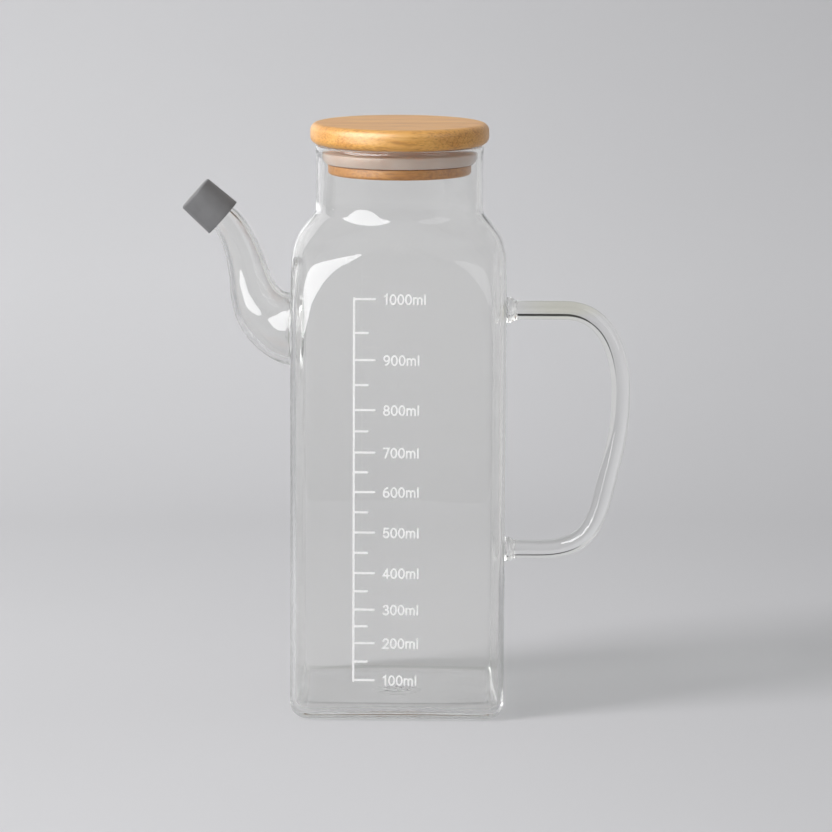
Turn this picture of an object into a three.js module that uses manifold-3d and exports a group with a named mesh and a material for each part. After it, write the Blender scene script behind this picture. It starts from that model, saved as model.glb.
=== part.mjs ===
// Oil and vinegar bottle: a square blown-glass carafe with a horn spout and a rod handle,
// closed by a turned bamboo lid on a silicone seal, and a silicone cap on the spout.
// Millimetres, +Z up. The origin is the middle of the base, +X points to the handle and
// -Y to the face that is seen from the front.

import * as THREE from "three";
import { mergeVertices } from "three/addons/utils/BufferGeometryUtils.js";
import Module from "manifold-3d";

const wasm = await Module();
wasm.setup();

// Square body with rounded upright corners
const WALL = 2.1;
const FLOOR = 4;
const BODY_HALF = 42;
const CORNER_RADIUS = 8;
const HEEL_RADIUS = 6;

// Neck and rim
const NECK_FOOT = 197.4;
const NECK_RADIUS = 33;
const RIM_TOP = 223.05;
const RIM_BEAD = 0.4;
const RIM_HEIGHT = 3;

// Shoulder. Both curves leave and arrive upright: "hold" and "pull" are the heights of their
// control points. One draws the sides in to the neck, the other narrows each flat face to an
// arch, so that the section turns from a rounded square into a circle.
const SHOULDER = { start: 179, hold: 188.6, pull: 194.3, end: NECK_FOOT };
const FACE_ARCH = { start: 136.4, hold: 195.2, pull: 176.3, end: NECK_FOOT };

// Horn spout: its centre line and outer radius, from inside the wall to below the cap
const SPOUT_STATIONS = [
  { x: -36, z: 149.7, radius: 15.2 },
  { x: -43, z: 150.3, radius: 14.9 },
  { x: -49.5, z: 153.1, radius: 12.9 },
  { x: -54.4, z: 157.9, radius: 11.2 },
  { x: -57.5, z: 164.3, radius: 9.4 },
  { x: -59.5, z: 172.1, radius: 8 },
  { x: -61.7, z: 180.1, radius: 7.05 },
  { x: -65, z: 187.6, radius: 6.35 },
];
const SPOUT_WALL_ROOT = 3.6;
const SPOUT_WALL_TIP = 1.5;
const SPOUT_TIP_RADIUS = 5.5;
const SPOUT_IN_CAP = 8.5;
const SPOUT_BELOW_CAP = 1.5;

// Silicone cap: a slightly tapered cup over the slanting end of the spout
const CAP_MOUTH = { x: -69.6, z: 193.6 };
const CAP_RISE = THREE.MathUtils.degToRad(41.5);
const CAP_LENGTH = 14.9;
const CAP_MOUTH_RADIUS = 8.25;
const CAP_END_RADIUS = 7.7;
const CAP_EDGE = 0.9;
const CAP_BORE = 6.3;
const CAP_END_THICKNESS = 3.2;

// Rod handle: it leaves the wall level, swings out to its reach and slants back to its foot.
// Each "ease" is how far a bend's control point lies from the bend's end.
const HANDLE_RADIUS = 3.7;
const HANDLE_TOP = { x: 65.7, z: 157.5, ease: 17.7 };
const HANDLE_REACH = { x: 88.2, z: 123.4, easeUp: 15.4, easeDown: 12.5 };
const SLANT_ANGLE = THREE.MathUtils.degToRad(13.4);
const HANDLE_SLANT = { x: 84, z: 93.1, angle: SLANT_ANGLE, easeUp: 11.4, easeDown: 20.3 };
const HANDLE_FOOT = { x: 55.8, z: 61.1, ease: 22.4 };
const WELD_RADIUS = 4.9;
const WELD_LENGTH = 3.4;

// Turned bamboo lid: a disc with a plug below it, grooved for the seal
const LID_GAP = 0.35;
const LID_RADIUS = 35.2;
const LID_THICKNESS = 8.3;
const LID_EDGE = 3;
const PLUG_CORE_RADIUS = 26;
const PLUG_FLANGE_RADIUS = 28.2;
const PLUG_BOTTOM = 211.7;
const PLUG_FLANGE_TOP = 215.7;
const PLUG_EDGE = 1.2;

// Silicone seal round the plug: the heights of its lip count from the seal's bottom
const SEAL_GAP = 0.3;
const SEAL_BODY_RADIUS = 28.9;
const SEAL_LIP_RADIUS = 30.5;
const SEAL_LIP_EASE = 1.9;
const SEAL_LIP_CREST = 4;
const SEAL_LIP_TOP = 5.1;

// Fineness of the faceted surfaces. An arc gets twice the steps that its outline is given.
const ROUND_SIDES = 48;
const FACE_STEPS = 8;
const CORNER_STEPS = 4;
const HEEL_STEPS = 4;
const SHOULDER_STEPS = 16;
const RIM_STEPS = 4;
const EDGE_STEPS = 2;
const SPOUT_SIDES = 20;
const SPOUT_STEPS = 18;
const HANDLE_STEPS = 36;
const HANDLE_ARC_STEPS = 6;
const CAP_SIDES = 28;

// How far a cutting solid runs past what it cuts, and how deep a root sits in the wall
const OVERRUN = 5;
const ROOT_DEPTH = 1.2;

const QUARTER = Math.PI / 2;

// Turns a closed geometry into a solid that can be joined and cut.
function solidOf(geometry) {
  geometry.deleteAttribute("normal");
  geometry.deleteAttribute("uv");
  const merged = mergeVertices(geometry);
  const corners = merged.index.array;
  const triangles = [];
  for (let i = 0; i < corners.length; i += 3) {
    const [a, b, c] = corners.slice(i, i + 3);
    if (a !== b && b !== c && c !== a) triangles.push(a, b, c);
  }
  return new wasm.Manifold(new wasm.Mesh({
    numProp: 3,
    vertProperties: new Float32Array(merged.attributes.position.array),
    triVerts: new Uint32Array(triangles),
  }));
}

// Turns a solid back into a three.js geometry.
function geometryOf(solid) {
  const mesh = solid.getMesh();
  const geometry = new THREE.BufferGeometry();
  geometry.setAttribute("position", new THREE.BufferAttribute(mesh.vertProperties, 3));
  geometry.setIndex(new THREE.BufferAttribute(mesh.triVerts, 1));
  geometry.computeVertexNormals();
  return geometry;
}

// A solid of revolution about Z from a path of radius and height.
function turned(path, sides) {
  const geometry = new THREE.LatheGeometry(path.getPoints(EDGE_STEPS), sides);
  geometry.rotateX(QUARTER);
  return solidOf(geometry);
}

// A solid whose skin runs over a stack of rings, with a fan over the first and the last.
function stacked(rings) {
  const sides = rings[0].length;
  const points = rings.flat();
  const indices = [];
  for (let i = 0; i + sides < points.length; i += 1) {
    const next = (i + 1) % sides === 0 ? i + 1 - sides : i + 1;
    indices.push(i, next, next + sides, i, next + sides, i + sides);
  }
  const first = points.length;
  const lastRing = first - sides;
  for (const ring of [rings[0], rings.at(-1)]) {
    const middle = ring.reduce((sum, point) => sum.add(point), new THREE.Vector3());
    points.push(middle.divideScalar(sides));
  }
  for (let i = 0; i < sides; i += 1) {
    const next = (i + 1) % sides;
    indices.push(first, next, i, first + 1, lastRing + i, lastRing + next);
  }
  const geometry = new THREE.BufferGeometry().setFromPoints(points);
  geometry.setIndex(indices);
  return solidOf(geometry);
}

// A curve of size against height that leaves and arrives upright.
function heightCurve(from, to, { start, hold, pull, end }) {
  return new THREE.CubicBezierCurve(
    new THREE.Vector2(from, start),
    new THREE.Vector2(from, hold),
    new THREE.Vector2(to, pull),
    new THREE.Vector2(to, end),
  );
}

// The size that a height curve gives at a height, found by halving.
function sizeAt(curve, z) {
  let low = 0;
  let high = 1;
  for (let i = 0; i < 30; i += 1) {
    const middle = (low + high) / 2;
    if (curve.getPoint(middle).y < z) low = middle;
    else high = middle;
  }
  return curve.getPoint(low).x;
}

const FACE_HALF = BODY_HALF - CORNER_RADIUS;
const sideCurve = heightCurve(BODY_HALF, NECK_RADIUS, SHOULDER);
const faceCurve = heightCurve(FACE_HALF, 0, FACE_ARCH);

const sideAt = (z) => sizeAt(sideCurve, z);
const diagonalAt = (z) => sideAt(z) + (Math.SQRT2 - 1) * sizeAt(faceCurve, z);

// How far the inner skin lies in from the outer one, level, where the wall slopes.
function wallAcross(size, z, wall) {
  const step = 0.1;
  const slope = (size(z + step) - size(z - step)) / (2 * step);
  return wall * Math.hypot(1, slope);
}

// The distance from the axis to a rounded square's edge in a direction. Each side is flat for
// "face" to both sides of its middle.
function sectionRadius(half, face, direction) {
  const turn = Math.abs(direction - QUARTER * Math.round(direction / QUARTER));
  if (half * Math.tan(turn) <= face) return half / Math.cos(turn);
  const reach = face * (Math.cos(turn) + Math.sin(turn));
  return reach + Math.sqrt(reach ** 2 - 2 * face ** 2 + (half - face) ** 2);
}

// The directions in which every section is sampled: evenly over the faces, closer round the corners.
function sectionDirections() {
  const edge = Math.atan(FACE_HALF / BODY_HALF);
  const directions = [];
  for (let side = 0; side < 4; side += 1) {
    for (let i = 0; i < FACE_STEPS; i += 1) {
      directions.push(side * QUARTER - edge + 2 * edge * (i / FACE_STEPS));
    }
    for (let i = 0; i < CORNER_STEPS; i += 1) {
      directions.push(side * QUARTER + edge + (QUARTER - 2 * edge) * (i / CORNER_STEPS));
    }
  }
  return directions;
}

const directions = sectionDirections();

function section(half, face, z) {
  return directions.map((direction) => {
    const radius = sectionRadius(half, face, direction);
    return new THREE.Vector3(radius * Math.cos(direction), radius * Math.sin(direction), z);
  });
}

// Rings of the vessel's skin at a depth in the wall, from the floor to the foot of the neck.
function vesselRings(depth, floor) {
  const rings = [];
  const heel = HEEL_RADIUS - depth;
  for (let i = 0; i <= HEEL_STEPS; i += 1) {
    const angle = QUARTER * (i / HEEL_STEPS);
    const half = BODY_HALF - depth - heel * (1 - Math.sin(angle));
    rings.push(section(half, FACE_HALF, floor + heel * (1 - Math.cos(angle))));
  }
  for (let i = 0; i <= SHOULDER_STEPS; i += 1) {
    const z = faceCurve.getPoint(i / SHOULDER_STEPS).y;
    const half = sideAt(z) - wallAcross(sideAt, z, depth);
    const diagonal = diagonalAt(z) - wallAcross(diagonalAt, z, depth);
    rings.push(section(half, Math.max(0, (diagonal - half) / (Math.SQRT2 - 1)), z));
  }
  return rings;
}

function outerVessel() {
  const lip = NECK_RADIUS + RIM_BEAD;
  const rim = new THREE.CubicBezierCurve(
    new THREE.Vector2(NECK_RADIUS, RIM_TOP - RIM_HEIGHT),
    new THREE.Vector2(lip, RIM_TOP - RIM_HEIGHT / 2),
    new THREE.Vector2(lip, RIM_TOP),
    new THREE.Vector2(NECK_RADIUS - WALL / 2, RIM_TOP),
  );
  return stacked([
    ...vesselRings(0, 0),
    ...rim.getPoints(RIM_STEPS).map(({ x, y }) => section(x, 0, y)),
  ]);
}

function innerVessel() {
  const bore = NECK_RADIUS - WALL;
  const chamfer = WALL / 3;
  return stacked([
    ...vesselRings(WALL, FLOOR),
    section(bore, 0, RIM_TOP - chamfer),
    section(bore + chamfer, 0, RIM_TOP),
    section(bore + chamfer, 0, RIM_TOP + OVERRUN),
  ]);
}

// A round horn in the XZ plane through stations of centre and radius.
function horn(stations) {
  const centres = new THREE.SplineCurve(stations.map(({ x, z }) => new THREE.Vector2(x, z)));
  const radii = new THREE.SplineCurve(stations.map(({ radius }, i) => new THREE.Vector2(i, radius)));
  const rings = [];
  for (let i = 0; i <= SPOUT_STEPS; i += 1) {
    const centre = centres.getPoint(i / SPOUT_STEPS);
    const tangent = centres.getTangent(i / SPOUT_STEPS);
    const radius = radii.getPoint(i / SPOUT_STEPS).y;
    const ring = [];
    for (let side = 0; side < SPOUT_SIDES; side += 1) {
      const angle = 4 * QUARTER * (side / SPOUT_SIDES);
      const across = radius * Math.cos(angle);
      ring.push(new THREE.Vector3(
        centre.x + tangent.y * across,
        radius * Math.sin(angle),
        centre.y - tangent.x * across,
      ));
    }
    rings.push(ring);
  }
  return stacked(rings);
}

// A spout station on the cap's axis, at a distance above the cap's mouth.
function stationInCap(distance, radius) {
  return {
    x: CAP_MOUTH.x - Math.cos(CAP_RISE) * distance,
    z: CAP_MOUTH.z + Math.sin(CAP_RISE) * distance,
    radius,
  };
}

function spoutOuter() {
  return horn([
    ...SPOUT_STATIONS,
    stationInCap(-SPOUT_BELOW_CAP, (SPOUT_STATIONS.at(-1).radius + SPOUT_TIP_RADIUS) / 2),
    stationInCap(SPOUT_IN_CAP, SPOUT_TIP_RADIUS),
  ]);
}

// The passage starts inside the vessel and runs out past the tip. Its wall thins quickly
// above the root.
function spoutPassage() {
  const last = SPOUT_STATIONS.length - 1;
  const inner = SPOUT_STATIONS.map(({ x, z, radius }, i) => {
    const wall = THREE.MathUtils.lerp(SPOUT_WALL_ROOT, SPOUT_WALL_TIP, Math.sqrt(i / last));
    return { x, z, radius: radius - wall };
  });
  const tip = SPOUT_TIP_RADIUS - SPOUT_WALL_TIP;
  return horn([
    { ...inner[0], x: inner[0].x + OVERRUN },
    ...inner.slice(1),
    stationInCap(-SPOUT_BELOW_CAP, (inner.at(-1).radius + tip) / 2),
    stationInCap(SPOUT_IN_CAP + 1, tip),
  ]);
}

function handlePath() {
  const point = (x, z) => new THREE.Vector3(x, 0, z);
  const level = ({ x, z }, distance) => point(x + distance, z);
  const upright = ({ x, z }, distance) => point(x, z + distance);
  const slanted = ({ x, z, angle }, distance) => (
    point(x + Math.sin(angle) * distance, z + Math.cos(angle) * distance)
  );
  const root = BODY_HALF - ROOT_DEPTH;
  const path = new THREE.CurvePath();
  path.add(new THREE.LineCurve3(point(root, HANDLE_TOP.z), level(HANDLE_TOP, 0)));
  path.add(new THREE.CubicBezierCurve3(
    level(HANDLE_TOP, 0),
    level(HANDLE_TOP, HANDLE_TOP.ease),
    upright(HANDLE_REACH, HANDLE_REACH.easeUp),
    upright(HANDLE_REACH, 0),
  ));
  path.add(new THREE.CubicBezierCurve3(
    upright(HANDLE_REACH, 0),
    upright(HANDLE_REACH, -HANDLE_REACH.easeDown),
    slanted(HANDLE_SLANT, HANDLE_SLANT.easeUp),
    slanted(HANDLE_SLANT, 0),
  ));
  path.add(new THREE.CubicBezierCurve3(
    slanted(HANDLE_SLANT, 0),
    slanted(HANDLE_SLANT, -HANDLE_SLANT.easeDown),
    level(HANDLE_FOOT, HANDLE_FOOT.ease),
    level(HANDLE_FOOT, 0),
  ));
  path.add(new THREE.LineCurve3(level(HANDLE_FOOT, 0), point(root, HANDLE_FOOT.z)));
  return path;
}

function handleRod() {
  const rod = new THREE.Shape();
  rod.absarc(0, 0, HANDLE_RADIUS, 0, 4 * QUARTER, false);
  return solidOf(new THREE.ExtrudeGeometry(rod, {
    extrudePath: handlePath(),
    steps: HANDLE_STEPS,
    curveSegments: HANDLE_ARC_STEPS,
    bevelEnabled: false,
  }));
}

// The flared weld where the rod meets the wall at a height.
function handleWeld(height) {
  const path = new THREE.Path();
  path.moveTo(0, -ROOT_DEPTH);
  path.lineTo(WELD_RADIUS, -ROOT_DEPTH);
  path.lineTo(WELD_RADIUS, 0);
  path.quadraticCurveTo(HANDLE_RADIUS, WELD_LENGTH / 3, HANDLE_RADIUS, WELD_LENGTH);
  path.lineTo(0, WELD_LENGTH);
  return turned(path, 2 * HANDLE_ARC_STEPS)
    .rotate([0, 90, 0])
    .translate([BODY_HALF, 0, height]);
}

function glassBottle() {
  return outerVessel()
    .add(spoutOuter())
    .add(handleRod())
    .add(handleWeld(HANDLE_TOP.z))
    .add(handleWeld(HANDLE_FOOT.z))
    .subtract(innerVessel())
    .subtract(spoutPassage());
}

function bambooLid() {
  const under = RIM_TOP + LID_GAP;
  const top = under + LID_THICKNESS;
  const side = LID_RADIUS - LID_EDGE;
  const plugSide = PLUG_FLANGE_RADIUS - PLUG_EDGE;
  const path = new THREE.Path();
  path.moveTo(0, PLUG_BOTTOM);
  path.lineTo(plugSide, PLUG_BOTTOM);
  path.absarc(plugSide, PLUG_BOTTOM + PLUG_EDGE, PLUG_EDGE, -QUARTER, 0, false);
  path.lineTo(PLUG_FLANGE_RADIUS, PLUG_FLANGE_TOP);
  path.lineTo(PLUG_CORE_RADIUS, PLUG_FLANGE_TOP);
  path.lineTo(PLUG_CORE_RADIUS, under);
  path.lineTo(side, under);
  path.absarc(side, under + LID_EDGE, LID_EDGE, -QUARTER, 0, false);
  path.lineTo(LID_RADIUS, top - LID_EDGE);
  path.absarc(side, top - LID_EDGE, LID_EDGE, 0, QUARTER, false);
  path.lineTo(0, top);
  return turned(path, ROUND_SIDES);
}

// A sleeve whose lip swells towards its upper edge, where it meets the inside of the neck.
function siliconeSeal() {
  const bottom = PLUG_FLANGE_TOP + SEAL_GAP;
  const inner = PLUG_CORE_RADIUS + SEAL_GAP;
  const crest = bottom + SEAL_LIP_CREST;
  const lipTop = bottom + SEAL_LIP_TOP;
  const path = new THREE.Path();
  path.moveTo(inner, bottom);
  path.lineTo(SEAL_BODY_RADIUS, bottom);
  path.quadraticCurveTo(SEAL_LIP_RADIUS, bottom + SEAL_LIP_EASE, SEAL_LIP_RADIUS, crest);
  path.quadraticCurveTo(SEAL_LIP_RADIUS, lipTop, SEAL_BODY_RADIUS, lipTop);
  path.lineTo(SEAL_BODY_RADIUS, RIM_TOP);
  path.lineTo(inner, RIM_TOP);
  path.lineTo(inner, bottom);
  return turned(path, ROUND_SIDES);
}

// The cup, with the middle of its mouth at the origin and its closed end up.
function spoutCap() {
  const ceiling = CAP_LENGTH - CAP_END_THICKNESS;
  const path = new THREE.Path();
  path.moveTo(0, ceiling);
  path.lineTo(CAP_BORE, ceiling);
  path.lineTo(CAP_BORE, 0);
  path.lineTo(CAP_MOUTH_RADIUS, 0);
  path.lineTo(CAP_END_RADIUS, CAP_LENGTH - CAP_EDGE);
  path.absarc(CAP_END_RADIUS - CAP_EDGE, CAP_LENGTH - CAP_EDGE, CAP_EDGE, 0, QUARTER, false);
  path.lineTo(0, CAP_LENGTH);
  return turned(path, CAP_SIDES);
}

const glass = new THREE.MeshStandardMaterial({
  color: 0xd9dddb,
  roughness: 0.05,
  metalness: 0,
  transparent: true,
  opacity: 0.35,
});
const bamboo = new THREE.MeshStandardMaterial({ color: 0xd19b54, roughness: 0.6, metalness: 0 });
const clearSilicone = new THREE.MeshStandardMaterial({ color: 0xcfc4bb, roughness: 0.5, metalness: 0 });
const greySilicone = new THREE.MeshStandardMaterial({ color: 0x737373, roughness: 0.7, metalness: 0 });

function piece(name, solid, material) {
  const mesh = new THREE.Mesh(geometryOf(solid), material);
  mesh.name = name;
  return mesh;
}

const cap = piece("spout_cap", spoutCap(), greySilicone);
cap.position.set(CAP_MOUTH.x, 0, CAP_MOUTH.z);
cap.rotation.y = CAP_RISE - QUARTER;

const bottle = new THREE.Group();
bottle.add(
  piece("glass_bottle", glassBottle(), glass),
  piece("bamboo_lid", bambooLid(), bamboo),
  piece("silicone_seal", siliconeSeal(), clearSilicone),
  cap,
);

export default bottle;
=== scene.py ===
# Looks for the oil and vinegar bottle: a blown-glass vessel with a horn spout and a rod handle,
# a turned bamboo lid on a silicone seal, a silicone spout cap and a printed volume scale.
# Shapes are worked out in millimetres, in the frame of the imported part, and made in metres.

import math

import bmesh
import bpy
from mathutils import Euler, Matrix, Vector
from mathutils.geometry import tessellate_polygon


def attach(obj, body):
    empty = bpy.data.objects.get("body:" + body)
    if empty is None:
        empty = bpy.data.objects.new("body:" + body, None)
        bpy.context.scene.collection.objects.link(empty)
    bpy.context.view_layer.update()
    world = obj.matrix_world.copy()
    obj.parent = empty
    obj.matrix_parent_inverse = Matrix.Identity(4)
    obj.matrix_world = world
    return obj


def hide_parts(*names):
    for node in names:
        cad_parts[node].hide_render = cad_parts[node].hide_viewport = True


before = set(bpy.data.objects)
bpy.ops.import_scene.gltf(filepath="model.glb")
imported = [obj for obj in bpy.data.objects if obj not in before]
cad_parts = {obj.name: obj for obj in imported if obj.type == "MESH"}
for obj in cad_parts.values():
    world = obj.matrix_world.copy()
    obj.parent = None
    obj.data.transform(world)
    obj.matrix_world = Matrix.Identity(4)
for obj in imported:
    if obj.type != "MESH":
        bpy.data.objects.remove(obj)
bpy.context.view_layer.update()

MM = 0.001
QUARTER = math.pi / 2
BODY = "root"

# Square body with rounded upright corners
WALL = 2.1
FLOOR = 4.0
BODY_HALF = 42.0
CORNER_RADIUS = 8.0
HEEL_RADIUS = 6.0
FACE_HALF = BODY_HALF - CORNER_RADIUS

# The body's flat faces that carry the handle and the spout, in quarter turns from X
HANDLE_FACE = 0
SPOUT_FACE = 2

# Low relief of the floor: how far it thins towards its corners, and the uneven mark in its middle
CORNER_SAG = 0.7
CORNER_SAG_POWER = 1.5
PONTIL = 0.4
PONTIL_RADIUS = 8.0
PONTIL_UNEVEN = 0.6
PONTIL_LOBES = 2

# Neck and rim
NECK_FOOT = 197.4
NECK_RADIUS = 33.0
RIM_TOP = 223.05
RIM_BEAD = 0.4
RIM_HEIGHT = 3.0
RIM_INSIDE = 1.2

# Shoulder: start height, height that holds the lower size, height that pulls to the upper size, end
SHOULDER = (179.0, 188.6, 194.3, NECK_FOOT)
FACE_ARCH = (136.4, 195.2, 176.3, NECK_FOOT)

# Horn spout: stations of (x, z, radius), wall, tip and weld
SPOUT_STATIONS = (
    (-36.0, 149.7, 15.2),
    (-43.0, 150.3, 14.9),
    (-49.5, 153.1, 12.9),
    (-54.4, 157.9, 11.2),
    (-57.5, 164.3, 9.4),
    (-59.5, 172.1, 8.0),
    (-61.7, 180.1, 7.05),
    (-65.0, 187.6, 6.35),
)
SPOUT_WALL_ROOT = 3.6
SPOUT_WALL_TIP = 1.5
SPOUT_TIP_RADIUS = 5.5
SPOUT_IN_CAP = 8.5
SPOUT_BELOW_CAP = 1.5
SPOUT_LIP = 0.5
PASSAGE_OVERRUN = 5.0
SPOUT_WELD = 1.6
PASSAGE_WELD = 1.0
SPOUT_PATCH = 20.0

# Ripple of the spout's weld: its height, its share of the horn, and the waves on the weld and on the horn,
# each as the waves in a turn, how far they wander and how often
RIPPLE = 0.1
RIPPLE_REACH = 1 / 12
WELD_WAVES = (9, 2, 4)
HORN_WAVES = (7, 3, 2)

# Silicone cap over the slanting end of the spout
CAP_MOUTH = (-69.6, 193.6)
CAP_RISE = math.radians(41.5)
CAP_LENGTH = 14.9
CAP_MOUTH_RADIUS = 8.25
CAP_END_RADIUS = 7.7
CAP_EDGE = 0.9
CAP_MOUTH_EDGE = 0.3
CAP_BORE = 6.3
CAP_END_THICKNESS = 3.2
CAP_FAN = 0.5

# Rod handle: bends of (x, z) with the distances of their control points
HANDLE_RADIUS = 3.7
HANDLE_TOP = (65.7, 157.5)
HANDLE_TOP_EASE = 17.7
HANDLE_REACH = (88.2, 123.4)
HANDLE_REACH_EASE = (15.4, 12.5)
HANDLE_SLANT = (84.0, 93.1)
HANDLE_SLANT_ANGLE = math.radians(13.4)
HANDLE_SLANT_EASE = (11.4, 20.3)
HANDLE_FOOT = (55.8, 61.1)
HANDLE_FOOT_EASE = 22.4
HANDLE_PATCH = 8.0

# The handle's welds: (distance from the wall, radius) along the bead, and how uneven it is
WELD_FLARE = 6.3
WELD_BEAD = ((0.25, 5.5), (0.7, 4.95), (1.4, 4.8), (2.2, 4.95), (2.9, 4.6), (3.6, 4.05), (4.6, 3.75))
WELD_CLEAR = 1.0
BEAD_UNEVEN = 0.09
BEAD_LOBES = (5, 3)
BEAD_TWIST = 1.7

# Bamboo lid with a plug that is grooved for the seal
LID_GAP = 0.35
LID_RADIUS = 35.2
LID_THICKNESS = 8.3
LID_EDGE = 3.0
LID_SOFT = 0.4
LID_FAN = 1.0
PLUG_CORE_RADIUS = 26.0
PLUG_FLANGE_RADIUS = 28.2
PLUG_BOTTOM = 211.7
PLUG_FLANGE_TOP = 215.7
PLUG_EDGE = 1.2

# Silicone seal: the heights of its lip count from its bottom
SEAL_GAP = 0.3
SEAL_BODY_RADIUS = 28.9
SEAL_LIP_RADIUS = 30.5
SEAL_LIP_EASE = 1.9
SEAL_LIP_CREST = 4.0
SEAL_LIP_TOP = 5.1

# Printed scale on the front face: the marks' heights from 100 to 1000 millilitres
SCALE_MARKS = (16.82, 31.65, 45.03, 59.57, 75.65, 91.68, 107.26, 123.97, 143.56, 167.35)
MARK_STEP = 100
SCALE_LINE = -17.0
LONG_TICK = 8.0
SHORT_TICK = 5.3
TOP_SHORT_TICK_DROP = 1.3
TICK_WIDTH = 0.85
LABEL_START = -5.5
DIGIT_HEIGHT = 3.85
LABEL_DROP = 0.15
STROKE_WIDTH = 0.66
GLYPH_GAP = 0.175
MITRE_LEAST = 0.35
SHUT_WITHIN = 0.1
PRINT_PROUD = 0.02
PRINT_STEP = 0.004
PRINT_SUNK = 0.01

# Fineness of the curved surfaces
FACE_STEPS = 36
CORNER_STEPS = 16
BOTTOM_RINGS = 20
RING_CROWDING = 1.7
HEEL_STEPS = 8
STRAIGHT_STEPS = 22
SHOULDER_STEPS = 64
NECK_STEPS = 6
RIM_STEPS = 6
SPOUT_SIDES = 64
SPOUT_STEPS = 56
WELD_STEPS = 5
HANDLE_SIDES = 32
HANDLE_STEPS = 40
LATHE_SIDES = 160
ARC_STEPS = 8
LIP_STEPS = 10
GLYPH_STEPS = 10
OVAL_STEPS = 24
END_STEPS = 6
LATHE_STEP = 2.5
HALVINGS = 40

# Materials: tones are as the eye sees them on a screen, from 0 to 255, and lengths are in metres
SCREEN_GAMMA = 2.2
STRAIGHT_TONE = (252, 252, 252)
MOST_TURNS = 9.5
GRAIN_TURN = math.radians(20)
BAND_SHARE = 0.5
STAIN_SHARE = 0.35
# Painted shade on the bamboo plug inside the neck, and the height over which it fades in below the rim
PLUG_PAINTED_SHADE = (228, 212, 186)
PLUG_SHADE_FADE = 0.001

# Deeper tones on the glass, each as the tone, its heights with their ease, and the x that it starts at: the
# green of the thick floor, and an olive tone painted on the handle's top arm
THICK_FLOOR_AND_PAINTED_TINTS = (
    ((230, 233, 229), (0.0009, 0.0026, 0.0006), -1.0),
    # Painted: the olive that the handle's top arm bends into view, not a tone of its glass
    ((247, 246, 232), (0.158, 0.17, 0.004), 0.062),
)
GLASS_TINT_X_END = 1.0
GLASS_TINT_X_EASE = 0.02

# Studio, in metres but for the sweep, which is in millimetres as the shapes are
SWEEP_FRONT = -510.0
SWEEP_BEND = 350.0
SWEEP_RADIUS = 600.0
SWEEP_END = math.radians(56)
SWEEP_LEFT = -1200.0
SWEEP_RIGHT = 290.0
SWEEP_STEPS = 48
# Painted light and shade on the paper: levels along Y from front to back, darkest where it bends up, and
# along X, darker towards its sides
PAPER_DEPTH = (-0.2, 0.85)
PAPER_DEPTH_PAINTED_LIGHT = ((0.0, 1.04), (0.29, 1.0), (0.55, 0.91), (0.81, 0.96), (0.97, 0.87))
PAPER_SIDES = (-0.42, 0.3)
PAPER_SIDE_PAINTED_LIGHT = ((0.0, 0.75), (0.22, 1.0), (0.6, 1.0), (1.0, 0.93))
LAMP_TARGET = (0.0, 0.0, 0.1)
KEY_PLACE = (-1.45, -0.72, 1.5)
KEY_SIZE = (0.6, 0.6)
KEY_POWER = 26.5
FILL_PLACE = (-1.5, -0.9, 0.12)
FILL_SIZE = (0.7, 0.7)
FILL_POWER = 10.0
BACKDROP_LAMP_PLACE = (-0.45, -0.1, 1.3)
BACKDROP_LAMP_TARGET = (-0.15, 0.68, 0.08)
BACKDROP_LAMP_SIZE = (0.5, 0.3)
BACKDROP_LAMP_POWER = 0.3
BACKDROP_LAMP_SPREAD = math.radians(60)

# The room: its light on matt surfaces, what glass sees beside and before it, and the dark past the paper
ROOM_COLOUR = (1.0, 1.0, 1.01, 1.0)
DIFFUSE_LEFT = 0.7
DIFFUSE_RIGHT = 0.27
CAMERA_STRENGTH = 0.58
SIDE_STRENGTH = 0.6
FRONT_STRENGTH = 0.06
BEHIND_STRENGTH = 0.02
FRONT_EDGES = (0.5, 0.9)
BEHIND_EDGES = (0.93, 0.945)

# Cards that only gloss sees: degrees round Z from the front and above level, distance, width, height
# and radiance
CARDS = (
    ("left_card", -51, 30, 3.0, 3.7, 3.9, 9.3),
    ("left_back_card", -138, 17, 0.8, 0.86, 0.5, 1.0),
    ("right_card", 54, 32, 1.5, 1.1, 1.4, 1.4),
)
LIGHT_BOUNCES = 48

# Camera, solved from the outline of the bottle in the photograph
CAMERA_PLACE = (0.013538, -1.623059, 0.385682)
CAMERA_PITCH = math.radians(9.477)
CAMERA_YAW = math.radians(-0.234)
CAMERA_ROLL = math.radians(0.277)
CAMERA_SENSOR = 36.0
CAMERA_LENS = 179.06
CAMERA_CLIP = (0.05, 50.0)


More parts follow.
